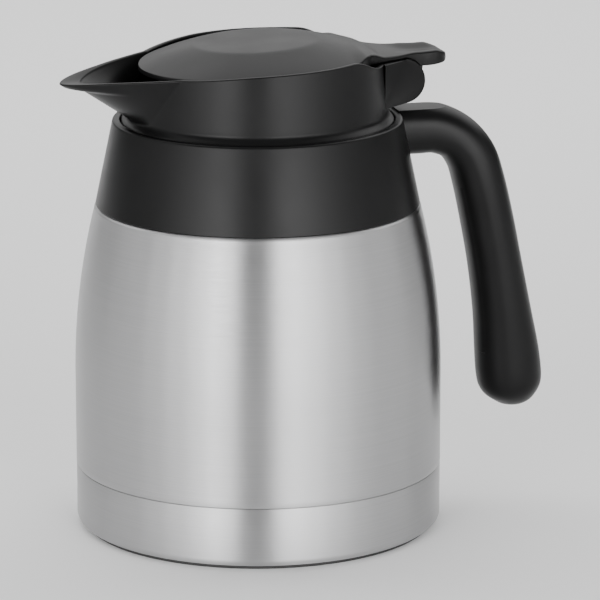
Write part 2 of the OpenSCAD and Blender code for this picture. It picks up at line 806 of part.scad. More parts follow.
// Hollow in the knuckle for the lid spring
spring_half = 3.6;
lid_spring_r = pin_r + 1;
lid_wire = 0.7;
module flip_lid() {
    color(black_c)
        difference() {
            union() {
                dome();
                difference() {
                    lever();
                    in_rim_plane()
                        translate([0, 0, -far])
                            cylinder(r = edge_in_r, h = far + 1);
                }
            }
            cross_bar(pin_x, pin_z, pin_r + run_gap, knuckle_y + 1);
            cross_bar(pin_x, pin_z, lid_spring_r + lid_wire, spring_half);
            translate([pin_x + tab_len * 0.45, 0, pin_z + tab_h + thumb_r - thumb_d])
                sphere(r = thumb_r, $fn = 128);
        }
}

module lid_liner() {
    boss_r = 6.5;
    boss_low = rim_z - (cap_z + cap_t + close_gap + pad_t);
    color(dark_c)
        in_rim_plane() {
            translate([0, 0, -seat_depth - liner_t])
                cylinder(r = edge_in_r - 0.3, h = liner_t);
            translate([-dome_shift, 0, -boss_low])
                cylinder(r = boss_r, h = boss_low - seat_depth - liner_t / 2);
        }
}

// Soft pad on the liner's boss: it meets the stem's cap
pad_t = 1.2;
module presser_pad() {
    boss_low = rim_z - (cap_z + cap_t + close_gap + pad_t);
    color(soft_c)
        in_rim_plane()
            translate([-dome_shift, 0, -boss_low - pad_t + 0.2])
                cylinder(r = 6, h = pad_t - 0.2);
}

module hinge_pin() {
    color(steel_c)
        cross_bar(pin_x, pin_z, pin_r, ear_y - 0.6);
}

module lid_spring() {
    color(steel_c)
        translate([pin_x, 0, pin_z])
            rotate([90, 0, 0])
                coil(lid_spring_r, lid_wire, 4, 0.5 - spring_half + lid_wire, spring_half - lid_wire - 0.5);
}

outer_shell();
base_cup();
inner_flask();
vacuum_plug();
getter();
foot_ring();
collar();
mouth_gasket();
neck_ring();
handle();
handle_inlay();
handle_screws();
lid_body();
stopper();
stopper_seal();
valve_guide();
valve_spring();
valve_stem();
valve_gasket();
stem_cap();
flip_lid();
lid_liner();
presser_pad();
hinge_pin();
lid_spring();
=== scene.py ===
import json
import math

import bmesh
import bpy
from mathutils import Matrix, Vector


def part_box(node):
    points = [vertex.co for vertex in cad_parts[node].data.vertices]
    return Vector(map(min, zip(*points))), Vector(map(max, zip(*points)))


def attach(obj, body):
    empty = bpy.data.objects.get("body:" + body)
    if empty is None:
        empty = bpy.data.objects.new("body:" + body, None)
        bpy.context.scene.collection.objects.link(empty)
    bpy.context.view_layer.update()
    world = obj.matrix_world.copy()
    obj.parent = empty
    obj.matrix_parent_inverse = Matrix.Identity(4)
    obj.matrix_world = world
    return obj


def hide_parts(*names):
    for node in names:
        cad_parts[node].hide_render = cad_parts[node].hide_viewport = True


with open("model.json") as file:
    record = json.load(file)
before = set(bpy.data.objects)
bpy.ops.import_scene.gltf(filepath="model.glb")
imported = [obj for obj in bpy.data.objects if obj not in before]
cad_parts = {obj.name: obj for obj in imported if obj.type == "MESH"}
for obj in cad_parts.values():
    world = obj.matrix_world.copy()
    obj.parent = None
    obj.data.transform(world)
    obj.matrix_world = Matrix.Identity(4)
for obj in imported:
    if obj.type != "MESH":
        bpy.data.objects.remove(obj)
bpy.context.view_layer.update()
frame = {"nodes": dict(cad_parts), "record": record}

# Lengths are in millimetres until a mesh is made, then in metres
MM = 0.001


def low(node, axis):
    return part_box(node)[0][axis] / MM


def high(node, axis):
    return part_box(node)[1][axis] / MM


def middle(node, axis):
    return (low(node, axis) + high(node, axis)) / 2


# Heights and radii that the frame sets
BODY_R = high("outer_shell", 1)
GROOVE_Z = low("outer_shell", 2)
NECK_TOP = high("outer_shell", 2)
SEAM_Z = low("collar", 2)
LIP_Z = high("collar", 2)
DECK_Z = high("neck_ring", 2)
RING_Z = low("neck_ring", 2)
RING_OUT_R = high("neck_ring", 1)
FOOT_TOP = low("base_cup", 2)
FOOT_R = high("foot_ring", 1)
FLANGE_R = high("lid_body", 1)
TAB_X = high("flip_lid", 0)
PIN_X = middle("hinge_pin", 0)
PIN_Z = middle("hinge_pin", 2)

# Body of steel: straight up to the belly, drawn in on one arc to the seam, then a ledge and the neck
STEEL_T = 0.8
BELLY_Z = 58.0
DRAW_IN_R = 250.0
GROOVE_W = 0.5
SEAM_EDGE = 1.6
LEDGE_W = 4.0
NECK_LOW = SEAM_Z + 11.0
NECK_R = 46.0
BASE_ROUND = 2.8
BASE_STEP = 0.1
FOOT_W = 14.0

# Collar: tapered outside, with a recess for the lid's flange and a sleeve round the steel neck
COLLAR_TAPER = 0.21
COLLAR_WALL = 2.2
RECESS_R = FLANGE_R + 0.3
WEB_T = 3.0
SLEEVE_R = NECK_R + 0.3
SLEEVE_H = 10.0

# Lid: flange on the deck, cove, tapered wall with a sloping rim, and bowl
UNDER_R = RING_OUT_R - 3.9
COVE_LOW = DECK_Z + 1.2
COVE_TOP = DECK_Z + 5.5
LID_FOOT_R = 47.6
LID_TOP_R = 45.6
LID_WALL = 1.9
RIM_Z = DECK_Z + 26.9
RIM_TILT = math.radians(2.7)
RIM_ROUND = 0.55
FLOOR_Z = DECK_Z + 6.2
FLOOR_T = 2.2
BOWL_ROUND = 1.4
POUR_R = 19.5
# Height of the rim over the deck along x, from the spout's tip to the back
RIM_LINE = [(-74, 18.7), (-71.6, 19.1), (-61.5, 20.5), (-52, 21.6), (-43, 22.5), (-36, 23.2), (-29, 24.0),
            (-22.5, 24.8), (-14, 25.7), (-2, 26.4), (8, 26.8), (17, 27.1), (26, 27.5), (60, 28.2)]

# Spout: keel in the middle, and a crease where its sides meet the wall
KEEL_Z = DECK_Z + 15.7
KEEL_X = 65.38
KEEL_SLOPE = 0.667
SIDE_POWER = 1.65
SPOUT_WALL = 3.2
SPOUT_FOOT = DECK_Z + 2.3
CREASE_LOW = 19.2
CREASE_RISE = 0.985
CREASE_SOFT = math.radians(1.3)
# Pouring lip: how far it curls out, between which heights, and how wide it is
LIP_FLARE = 4.6
LIP_FROM = KEEL_Z - 0.1
LIP_FULL = KEEL_Z + 1.5
LIP_OVER = KEEL_Z + 2.3
LIP_FADE = 0.16
LIP_MIDDLE = math.radians(1)
LIP_SPREAD = math.radians(20)

# Hinge ears on the lid's back, where the rim dips to their tops and has a notch between them
EAR_R = 8.2
EAR_Y = 12.4
EAR_T = 4.2
EAR_FLAT = 0.3
EAR_TOP = PIN_Z + EAR_R - EAR_FLAT
EAR_ROOT_X = LID_TOP_R - 3.2
EAR_ROOT_Y = 19.0
DIP_FROM = 26
DIP_TO = 40
NOTCH_FROM = math.radians(11.6)
NOTCH_TO = math.radians(10.4)
NOTCH_RISE = 5.2

# Dome of the flip lid, with a flat facet in its middle
DOME_R = LID_TOP_R - LID_WALL - 0.9
DOME_X = -0.6
DOME_END = DOME_X + DOME_R
DOME_EDGE = 4.1
DOME_DROP = 2.5
FACET_R = 23.0
FACET_H = 3.68
# Share of the side's fall that is straight, the rest being a curve
DOME_STRAIGHT = 0.72
# Roundings of the upper and lower edge of dome and lever, and steps of their mesh
EDGE_ROUND = 0.9
LOW_EDGE_ROUND = 0.45
ACROSS_STEPS = 56
ALONG_STEPS = 90

# Thumb lever: x where it starts, where its underside leaves the ears, and where it ends
LEVER_FROM = 28.0
PADDLE_FROM = PIN_X + 6.9
LEVER_END = TAB_X - 1.8
EAR_GAP = 0.25
# Places along x where the paddle's sides rise for the thumb, and where the neck's sides sag
THUMB_RISE = 1.0
THUMB_FROM = 49
THUMB_FULL = 58
THUMB_UNTIL = 65
NECK_SAG = 0.5
SAG_UNTIL = 42
SAG_END = 52
# Half width of the lever's neck and paddle along x
LEVER_SIDE = [(30, 25.5), (34, 22.5), (38, 19.6), (42, 17.2), (46, 14.9), (50, 12.8), (55, 10.9),
              (60, 9.9), (64, 9.6), (66, 9.2), (68, 8.1), (69.3, 6.7), (LEVER_END, 4.8)]
# Height over the pin of the lever's middle and of the paddle's underside, along x
LEVER_MID = [(34, 12.6), (40, 11.2), (45, 10.3), (50, 9.7), (55, 9.2), (60, 9.0), (66, 9.2), (69, 9.0),
             (LEVER_END, 8.7)]
LEVER_LOW = [(58.9, 4.9), (62, 4.9), (66, 5.2), (69, 5.6), (LEVER_END, 6.1)]
KNUCKLE_R = 4.4

# Handle: rows of x, z, half depth, half width and squareness of its section
ARM_TOP = LIP_Z + 0.7
HANDLE_ROWS = [
    (52.0, 144.9, 9.4, 9.8, 0.78),
    (60.0, 144.9, 9.4, 9.8, 0.78),
    (67.5, 144.5, 9.2, 10.2, 0.80),
    (75.6, 140.8, 8.9, 10.9, 0.84),
    (81.4, 133.7, 9.2, 11.7, 0.88),
    (84.5, 124.6, 9.4, 12.2, 0.90),
    (87.8, 110.4, 9.6, 12.5, 0.92),
    (91.2, 93.0, 9.8, 12.5, 0.92),
    (94.2, 74.8, 10.6, 12.5, 0.92),
    (96.2, 60.0, 11.8, 12.5, 0.92),
    (97.3, 50.0, 12.16, 12.5, 0.92),
    (98.0, 44.5, 11.4, 11.8, 0.92),
    (98.4, 40.6, 8.9, 9.5, 0.94),
    (98.5, 37.8, 5.3, 5.9, 0.97),
    (98.5, 36.4, 0.9, 0.9, 1.0),
]
HANDLE_STEPS = 9
HANDLE_SIDES = 72
LAST_ROW = len(HANDLE_ROWS) - 1

# Inlay in the grip, from row to row of the handle
INLAY_FROM = 5.0
INLAY_TO = 9.0
INLAY_HALF = 6.5
INLAY_T = 3.0
INLAY_EDGE = 0.2
ROW_GAP = 18.0
POCKET_GAP = 0.05
POCKET_OUT = 3.0


# Curves


def smoothstep(lo, hi, v):
    t = min(max((v - lo) / (hi - lo), 0.0), 1.0)
    return t * t * (3 - 2 * t)


def soft_max(a, b, k):
    """The larger of a and b, with a fillet of about k where they cross."""
    h = max(k - abs(a - b), 0.0) / k
    return max(a, b) + h * h * k / 4


def lerp(a, b, t):
    return a + (b - a) * t


def spread(start, end, count):
    """Evenly spaced values from start to end, count + 1 of them."""
    return [lerp(start, end, i / count) for i in range(count + 1)]


def arc(a, b, radius, start, end, count):
    """Points on an arc round (a, b), between two angles in degrees."""
    angles = [math.radians(v) for v in spread(start, end, count)]
    return [(a + radius * math.cos(t), b + radius * math.sin(t)) for t in angles]


def cos_sin(degrees):
    return math.cos(math.radians(degrees)), math.sin(math.radians(degrees))


def smooth_at(table, v):
    """Value at v on a smooth curve through (v, value) pairs."""
    if v <= table[0][0]:
        return table[0][1]
    slopes = [(b - a) / (w - u) for (u, a), (w, b) in zip(table, table[1:])]
    between = [(p + q) / 2 if p * q > 0 else 0.0 for p, q in zip(slopes, slopes[1:])]
    at = [slopes[0]] + between + [slopes[-1]]
    for i, ((u, a), (w, b)) in enumerate(zip(table, table[1:])):
        if v <= w:
            h = w - u
            t = (v - u) / h
            return (a * (1 + 2 * t) * (1 - t) ** 2 + b * t * t * (3 - 2 * t)
                    + h * t * (1 - t) * (at[i] * (1 - t) - at[i + 1] * t))
    return table[-1][1]


def rounded(corners, steps=6):
    """Polyline through (a, b, radius) corners, with each corner turned into an arc."""
    out = []
    n = len(corners)
    for i, (x, y, r) in enumerate(corners):
        p = Vector((x, y))
        if r <= 0:
            out.append((x, y))
            continue
        before = Vector(corners[(i - 1) % n][:2]) - p
        after = Vector(corners[(i + 1) % n][:2]) - p
        half = before.angle(after) / 2
        reach = min(r / math.tan(half), before.length * 0.49, after.length * 0.49)
        radius = reach * math.tan(half)
        start = p + before.normalized() * reach
        end = p + after.normalized() * reach
        centre = p + (before.normalized() + after.normalized()).normalized() * (radius / math.sin(half))
        for k in range(steps + 1):
            d = (start - centre).lerp(end - centre, k / steps)
            q = centre + d.normalized() * radius
            out.append((q.x, q.y))
    return out


def rounding(edge, radius):
    """How far a rounded edge falls away at the distance edge from it."""
    gap = max(radius - edge, 0)
    return radius - math.sqrt(max(radius ** 2 - gap ** 2, 0))


# Meshes


def add_mesh(name, verts, faces, sharp=32):
    """Closed object from points in millimetres, smooth but for edges sharper than the angle given."""
    mesh = bpy.data.meshes.new(name)
    mesh.from_pydata([(x * MM, y * MM, z * MM) for x, y, z in verts], [], faces)
    mesh.validate()
    bm = bmesh.new()
    bm.from_mesh(mesh)
    if bm.calc_volume(signed=True) < 0:
        bmesh.ops.reverse_faces(bm, faces=bm.faces)
    bm.to_mesh(mesh)
    bm.free()
    mesh.polygons.foreach_set("use_smooth", [True] * len(mesh.polygons))
    mesh.set_sharp_from_angle(angle=math.radians(sharp))
    obj = bpy.data.objects.new(name, mesh)
    bpy.context.scene.collection.objects.link(obj)
    return obj


def ring_faces(rows, columns, close_rows=False):
    """Quads between rings of points; every ring is closed."""
    faces = []
    for i in range(rows if close_rows else rows - 1):
        for j in range(columns):
            a = i * columns + j
            b = i * columns + (j + 1) % columns
            c = ((i + 1) % rows) * columns + (j + 1) % columns
            d = ((i + 1) % rows) * columns + j
            faces.append((a, b, c, d))
    return faces


def loft(name, rings, sharp=32):
    """Skin over rings of points, closed by a face at each end."""
    n = len(rings[0])
    verts = [p for ring in rings for p in ring]
    faces = ring_faces(len(rings), n)
    faces += [tuple(range(n))[::-1], tuple(range(len(verts) - n, len(verts)))]
    return add_mesh(name, verts, faces, sharp)


def revolve(name, profile, segments=288):
    """Closed profile of (radius, height) turned round Z. Points on the axis are merged."""
    verts, faces, rows = [], [], []
    for r, z in profile:
        if r < 1e-6:
            rows.append([len(verts)])
            verts.append((0.0, 0.0, z))
            continue
        rows.append(list(range(len(verts), len(verts) + segments)))
        for j in range(segments):
            a = 2 * math.pi * j / segments
            verts.append((r * math.cos(a), r * math.sin(a), z))
    for row, nxt in zip(rows, rows[1:] + rows[:1]):
        if len(row) == 1 and len(nxt) == 1:
            continue
        for j in range(segments):
            k = (j + 1) % segments
            if len(row) == 1:
                faces.append((row[0], nxt[k], nxt[j]))
            elif len(nxt) == 1:
                faces.append((row[j], row[k], nxt[0]))
            else:
                faces.append((row[j], row[k], nxt[k], nxt[j]))
    return add_mesh(name, verts, faces)


def apply_modifiers(obj):
    graph = bpy.context.evaluated_depsgraph_get()
    mesh = bpy.data.meshes.new_from_object(obj.evaluated_get(graph))
    obj.modifiers.clear()
    old = obj.data
    obj.data = mesh
    bpy.data.meshes.remove(old)


def combine(base, operation, *others):
    """base becomes one closed solid with the others joined or cut out."""
    for other in others:
        change = base.modifiers.new("change", "BOOLEAN")
        change.operation = operation
        change.solver = "EXACT"
        change.object = other
        apply_modifiers(base)
        bpy.data.objects.remove(other)


# Materials


class Nodes:
    """Short hand for building one node material."""

    def __init__(self, name):
        self.material = bpy.data.materials.new(name)
        self.material.use_nodes = True
        self.tree = self.material.node_tree
        self.shader = self.tree.nodes["Principled BSDF"]
        self.coords = self.tree.nodes.new("ShaderNodeTexCoord").outputs["Object"]

    def make(self, kind, **inputs):
        node = self.tree.nodes.new(kind)
        for key, value in inputs.items():
            self.fill(node.inputs[key.replace("_", " ")], value)
        return node

    def fill(self, socket, value):
        if isinstance(value, bpy.types.NodeSocket):
            self.tree.links.new(value, socket)
        else:
            socket.default_value = value

    def set(self, name, value):
        self.fill(self.shader.inputs[name], value)

    def noise(self, scale, stretch=(1, 1, 1), detail=4.0, roughness=0.55):
        wide = self.make("ShaderNodeVectorMath", Vector=self.coords)
        wide.operation = "MULTIPLY"
        wide.inputs[1].default_value = stretch
        return self.make("ShaderNodeTexNoise", Vector=wide.outputs[0], Scale=scale,
                         Detail=detail, Roughness=roughness).outputs["Fac"]

    def ramp(self, value, lo, hi, start=0.0, end=1.0):
        return self.make("ShaderNodeMapRange", Value=value, From_Min=start, From_Max=end,
                         To_Min=lo, To_Max=hi).outputs["Result"]

    def add(self, a, b):
        node = self.make("ShaderNodeMath", Value=a)
        node.operation = "ADD"
        self.tree.links.new(b, node.inputs[1])
        return node.outputs[0]

    def mix(self, fac, a, b):
        node = self.tree.nodes.new("ShaderNodeMix")
        node.data_type = "RGBA"
        self.tree.links.new(fac, node.inputs["Factor"])
        node.inputs["A"].default_value = (*a, 1)
        node.inputs["B"].default_value = (*b, 1)
        return node.outputs["Result"]

    def bump(self, height, strength, distance):
        node = self.make("ShaderNodeBump", Height=height, Strength=strength, Distance=distance)
        self.tree.links.new(node.outputs["Normal"], self.shader.inputs["Normal"])


# Steel's colour in and beside the lines of the grain, and the grain's stretch round and up the body
STEEL_LINE = (0.42, 0.42, 0.425)
STEEL_PLAIN = (0.51, 0.51, 0.515)
FINE_GRAIN = (14, 14, 5200)
BROAD_GRAIN = (5, 5, 420)


def brushed_steel(name, roughness, grain, anisotropy):
    """Stainless sheet with a grain that runs round the body."""
    m = Nodes(name)
    lines = m.noise(1.0, FINE_GRAIN, 5.0, 0.7)
    broad = m.noise(1.0, BROAD_GRAIN, 3.0)
    cloud = m.noise(22.0)
    m.set("Metallic", 1.0)
    m.set("Base Color", m.mix(m.ramp(lines, 0, 1, 0.3, 0.7), STEEL_LINE, STEEL_PLAIN))
    m.set("Roughness", m.add(m.ramp(lines, roughness - 0.05, roughness + 0.07, 0.3, 0.7),
                             m.ramp(cloud, -0.015, 0.02)))
    m.set("Anisotropic", anisotropy)
    m.set("Anisotropic Rotation", 0.25)
    tangent = m.tree.nodes.new("ShaderNodeTangent")
    tangent.direction_type = "RADIAL"
    tangent.axis = "Z"
    m.set("Tangent", tangent.outputs["Tangent"])
    m.bump(m.add(lines, broad), grain, 0.00004)
    return m.material


def moulded_plastic(name, color, roughness):
    """Satin moulded plastic: fine texture, faint unevenness and handling marks."""
    m = Nodes(name)
    fine = m.noise(2600.0, detail=3.0)
    patches = m.noise(38.0, detail=5.0)
    lighter = tuple(c * 1.25 + 0.0006 for c in color)
    m.set("Base Color", m.mix(m.ramp(patches, 0, 1, 0.35, 0.65), color, lighter))
    m.set("Roughness", m.ramp(patches, roughness - 0.03, roughness + 0.04, 0.3, 0.7))
    m.set("IOR", 1.49)
    m.set("Specular IOR Level", 0.17)
    m.bump(fine, 0.25, 0.00003)
    return m.material


def soft_rubber(name, color, roughness):
    """Rubber or silicone with a fine texture and a little dust."""
    m = Nodes(name)
    fine = m.noise(900.0, detail=4.0)
    dust = m.noise(60.0, detail=5.0)
    dusty = tuple(c * 1.35 + 0.002 for c in color)
    m.set("Base Color", m.mix(m.ramp(dust, 0, 1, 0.4, 0.75), color, dusty))
    m.set("Roughness", m.ramp(dust, roughness - 0.05, roughness + 0.06, 0.3, 0.7))
    m.bump(fine, 0.35, 0.00006)
    return m.material


def plain_metal(name, color, roughness):
    """Drawn wire or turned metal with fine scratches."""
    m = Nodes(name)
    scratches = m.noise(1.0, (900, 900, 2400), 4.0)
    duller = tuple(c * 0.88 for c in color)
    m.set("Metallic", 1.0)
    m.set("Base Color", m.mix(m.ramp(scratches, 0, 1, 0.3, 0.7), color, duller))
    m.set("Roughness", m.ramp(scratches, roughness - 0.06, roughness + 0.08, 0.3, 0.7))
    m.bump(scratches, 0.2, 0.00003)
    return m.material


def plain_material(name, color, roughness):
    m = Nodes(name)
    m.set("Base Color", (*color, 1))
    m.set("Roughness", roughness)
    return m.material


MATERIALS = {
    "brushed_steel": brushed_steel("brushed_steel", 0.38, 0.45, 0.95),
    "flask_steel": brushed_steel("flask_steel", 0.24, 0.2, 0.3),
    "fastener_steel": plain_metal("fastener_steel", (0.6, 0.6, 0.61), 0.3),
    "black_plastic": moulded_plastic("black_plastic", (0.003, 0.003, 0.0031), 0.36),
    "inner_plastic": moulded_plastic("inner_plastic", (0.03, 0.03, 0.031), 0.46),
    "foot_rubber": soft_rubber("foot_rubber", (0.012, 0.012, 0.012), 0.62),
    "silicone": soft_rubber("silicone", (0.42, 0.42, 0.4), 0.45),
}
SLOTS = {s["node"]: s["material_slot"] for s in frame["record"]["subparts"]}
for node_name, obj in frame["nodes"].items():
    obj.data.materials.clear()
    obj.data.materials.append(MATERIALS[SLOTS[node_name]])


def dress(obj, node, body):
    """The piece takes the place of one CAD node, with its finish, and moves with its body."""
    obj.data.materials.append(MATERIALS[SLOTS[node]])
    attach(obj, body)
    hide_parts(node)


# Steel body


def shell_r(z):
    if z < BELLY_Z:
        return BODY_R
    return BODY_R - DRAW_IN_R + math.sqrt(DRAW_IN_R ** 2 - (z - BELLY_Z) ** 2)


def make_steel_wall():
    """Outer shell: bead at the groove, drawn-in wall, rolled edge at the seam, ledge and neck."""
    edge_z = SEAM_Z - SEAM_EDGE
    ledge = shell_r(SEAM_Z) - LEDGE_W
    outer = [(BODY_R - GROOVE_W, GROOVE_Z), (BODY_R - 0.25 * GROOVE_W, GROOVE_Z + 0.3 * GROOVE_W)]
    outer += [(shell_r(z), z) for z in spread(GROOVE_Z + GROOVE_W, edge_z, 48)]
    outer += arc(shell_r(edge_z) - SEAM_EDGE, edge_z, SEAM_EDGE, 7.5, 90, 11)
    outer += [(ledge, SEAM_Z), (NECK_R, NECK_LOW), (NECK_R, NECK_TOP)]
    inner = [(NECK_R - STEEL_T, NECK_TOP), (NECK_R - STEEL_T, NECK_LOW - STEEL_T / 2),
             (ledge - STEEL_T / 2, SEAM_Z - STEEL_T)]
    inner += [(shell_r(z) - STEEL_T, z) for z in spread(edge_z - 0.6, GROOVE_Z, 20)]
    dress(revolve("steel_wall", outer + inner), "outer_shell", "carafe")


def make_base_cup():
    """Base: flat bottom, round corner and a bead at the groove."""
    r = BODY_R - BASE_STEP
    corner = (r - BASE_ROUND, FOOT_TOP + BASE_ROUND)
    profile = [(0, FOOT_TOP)]
    profile += arc(*corner, BASE_ROUND, -90, 0, 12)
    profile += [(r, GROOVE_Z - GROOVE_W), (r - 0.25 * GROOVE_W, GROOVE_Z - 0.3 * GROOVE_W)]
    profile += [(r - GROOVE_W, GROOVE_Z), (r - STEEL_T, GROOVE_Z)]
    profile += arc(*corner, BASE_ROUND - STEEL_T, 0, -90, 6)
    profile += [(0, FOOT_TOP + STEEL_T)]
    dress(revolve("steel_base", profile), "base_cup", "carafe")


def make_foot():
    bore = FOOT_R - FOOT_W
    profile = rounded([(bore, 0, 0.3), (FOOT_R, 0, 0.6), (FOOT_R, FOOT_TOP, 0), (bore, FOOT_TOP, 0)], 5)
    dress(revolve("foot_pad", profile, 256), "foot_ring", "carafe")


def collar_r(z):
    return shell_r(SEAM_Z) - COLLAR_TAPER * (z - SEAM_Z)


def make_collar():
    """Collar: outer face, rounded lip, recess, bore for the neck ring, sleeve and hollow inside."""
    web_top = RING_Z + WEB_T
    sleeve_low = RING_Z - SLEEVE_H
    profile = rounded([
        (collar_r(SEAM_Z) - COLLAR_WALL, SEAM_Z, 0),
        (collar_r(SEAM_Z) - 0.05, SEAM_Z, 0.45),
        (collar_r(LIP_Z), LIP_Z, 1.05),
        (RECESS_R, LIP_Z, 0.55),
        (RECESS_R, web_top, 0),
        (RING_OUT_R, web_top, 0),
        (RING_OUT_R, RING_Z, 0),
        (SLEEVE_R, RING_Z, 0),
        (SLEEVE_R, sleeve_low, 0.3),
        (SLEEVE_R + COLLAR_WALL, sleeve_low, 0.3),
        (SLEEVE_R + COLLAR_WALL, RING_Z, 0.5),
        (collar_r(RING_Z) - COLLAR_WALL, RING_Z, 0.5),
    ], 8)
    dress(revolve("shoulder_collar", profile), "collar", "carafe")


# Lid body: psi is the angle round the axis, 0 at the spout


def lid_wall_r(z):
    """Radius of the wall: a cove up from the flange, then a straight taper."""
    if z < COVE_TOP:
        t = smoothstep(COVE_LOW, COVE_TOP, z)
        return lerp(FLANGE_R, LID_FOOT_R, math.sin(t * math.pi / 2))
    return lerp(LID_FOOT_R, LID_TOP_R, (z - COVE_TOP) / (RIM_Z + 4 - COVE_TOP))


def crease_angle(z):
    """Angle from the spout's middle to where its side meets the wall."""
    return math.radians(CREASE_LOW + CREASE_RISE * (z - SPOUT_FOOT))


def keel_reach(z):
    return KEEL_X + (z - KEEL_Z) / KEEL_SLOPE


def spout_side_r(psi, z, wall):
    """Distance from the axis to the spout's side at psi: full at the keel, flat towards the crease."""
    crease = crease_angle(z)
    side_x = wall * math.cos(crease)
    side_y = wall * math.sin(crease)
    reach = soft_max(keel_reach(z), wall, 1.5)
    near, away = side_x, reach
    for _ in range(26):
        r = (near + away) / 2
        y = abs(r * math.sin(psi)) / side_y
        if r * math.cos(psi) < side_x + (reach - side_x) * (1 - y ** SIDE_POWER):
            near = r
        else:
            away = r
    return r


def lip_flare(psi, z):
    """How far the pouring lip curls out past the spout's side."""
    rise = smoothstep(LIP_FROM, LIP_FULL, z)
    fall = max(1 - LIP_FADE * max(z - LIP_OVER, 0), 0)
    across = smoothstep(LIP_SPREAD, LIP_MIDDLE, abs(psi))
    return LIP_FLARE * rise * fall * across


def spout_share(psi, crease):
    """1 on the spout, 0 on the wall, with a soft step at the crease."""
    return smoothstep(crease + CREASE_SOFT, crease - CREASE_SOFT, abs(psi))


def lid_out_r(psi, z):
    """Outer side of wall and spout."""
    wall = lid_wall_r(z)
    crease = crease_angle(z)
    if abs(psi) > crease + CREASE_SOFT:
        return wall
    side = spout_side_r(min(abs(psi), crease), z, wall)
    return lerp(wall, side + lip_flare(psi, z), spout_share(psi, crease))


def lid_in_r(psi, z):
    """Inner side of the wall: the spout is thicker across, since its keel lies flat."""
    wall = lid_wall_r(z)
    crease = crease_angle(z)
    if abs(psi) > crease + CREASE_SOFT:
        return wall - LID_WALL
    side = spout_side_r(min(abs(psi), crease), z, wall)
    thick = lerp(LID_WALL, SPOUT_WALL, smoothstep(crease, 0, abs(psi)))
    return lerp(wall, side, spout_share(psi, crease)) - thick


def rim_height(psi):
    """Top of the wall at psi: the line from tip to back, with the dip and the notch at the hinge."""
    z = RIM_Z
    for _ in range(4):
        x = -lid_out_r(psi, z) * math.cos(psi)
        z = DECK_Z + smooth_at(RIM_LINE, x)
    back = math.pi - abs(psi)
    z = lerp(z, EAR_TOP, smoothstep(DIP_FROM, DIP_TO, LID_TOP_R * math.cos(back)))
    return lerp(z, PIN_Z + NOTCH_RISE, smoothstep(NOTCH_FROM, NOTCH_TO, back))


def lid_columns():
    """Angles round the lid, close together at the spout and near the hinge."""
    stretches = [(0, 6, 0.4), (6, 50, 0.55), (50, 128, 1.5),
                 (128, 166, 0.8), (166, 172, 0.25), (172, 180, 1.0)]
    half = []
    for start, end, step in stretches:
        count = round((end - start) / step)
        half += [start + (end - start) * k / count for k in range(count)]
    half.append(180.0)
    return [math.radians(a) for a in half] + [-math.radians(a) for a in half[-2:0:-1]]


def lid_ring(columns, radius, height):
    """Points round the lid; radius and height are numbers or functions of the angle."""
    points = []
    for psi in columns:
        z = height(psi) if callable(height) else height
        r = radius(psi, z) if callable(radius) else radius
        points.append((-r * math.cos(psi), r * math.sin(psi), z))
    return points


def lid_outside(columns, edge):
    """Rings from under the flange up the outside to the top of the rim's rounding."""
    flange = [(UNDER_R, 0), (FLANGE_R - 0.5, 0), (FLANGE_R - 0.15, 0.15),
              (FLANGE_R, 0.5), (FLANGE_R, 0.9)]
    rings = [lid_ring(columns, r, DECK_Z + h) for r, h in flange]
    for t in spread(0, 1, 54):
        rise = 1 - (1 - t) ** 1.35
        rings.append(lid_ring(columns, lid_out_r, lambda psi: lerp(COVE_LOW, edge[psi], rise)))
    for turn in (22.5, 45, 67.5, 90):
        c, s = cos_sin(turn)
        rings.append(lid_ring(columns, lambda psi, z: lid_out_r(psi, edge[psi]) - RIM_ROUND * (1 - c),
                              lambda psi: edge[psi] + RIM_ROUND * s))
    return rings


def lid_inside(columns, edge):
    """Rings from the top of the rim's rounding down the inside, along the bowl's floor and under it."""
    bowl_z = FLOOR_Z + BOWL_ROUND
    rings = []
    for turn in (90, 60, 30):
        c, s = cos_sin(turn)
        rings.append(lid_ring(columns, lambda psi, z: lid_in_r(psi, edge[psi]) + RIM_ROUND * (1 - c),
                              lambda psi: edge[psi] + RIM_ROUND * s))
    for t in spread(0, 1, 30):
        rings.append(lid_ring(columns, lid_in_r, lambda psi: lerp(edge[psi], bowl_z, t)))
    for turn in (22.5, 45, 67.5, 90):
        c, s = cos_sin(turn)
        rings.append(lid_ring(columns, lambda psi, z: lid_in_r(psi, bowl_z) - BOWL_ROUND * (1 - c),
                              FLOOR_Z + BOWL_ROUND * (1 - s)))
    under = FLOOR_Z - FLOOR_T
    hole = [(POUR_R + 0.3, FLOOR_Z), (POUR_R, FLOOR_Z - 0.3), (POUR_R, under), (UNDER_R, under)]
    return rings + [lid_ring(columns, r, z) for r, z in hole]


def make_lid_body():
    """Closed skin of the lid: its outside, then its inside."""
    columns = lid_columns()
    edge = {psi: rim_height(psi) - RIM_ROUND for psi in columns}
    rings = lid_outside(columns, edge) + lid_inside(columns, edge)
    verts = [p for ring in rings for p in ring]
    faces = ring_faces(len(rings), len(columns), close_rows=True)
    return add_mesh("pouring_lid", verts, faces, 38)


def ear_outline():
    """Side view of an ear: root at the wall, round end about the pin, top a little flattened."""
    outline = [(EAR_ROOT_X, PIN_Z - EAR_R), (PIN_X, PIN_Z - EAR_R)]
    outline += arc(PIN_X, PIN_Z, EAR_R, -84, 84, 28)
    return outline + [(PIN_X, EAR_TOP), (EAR_ROOT_X, EAR_TOP)]


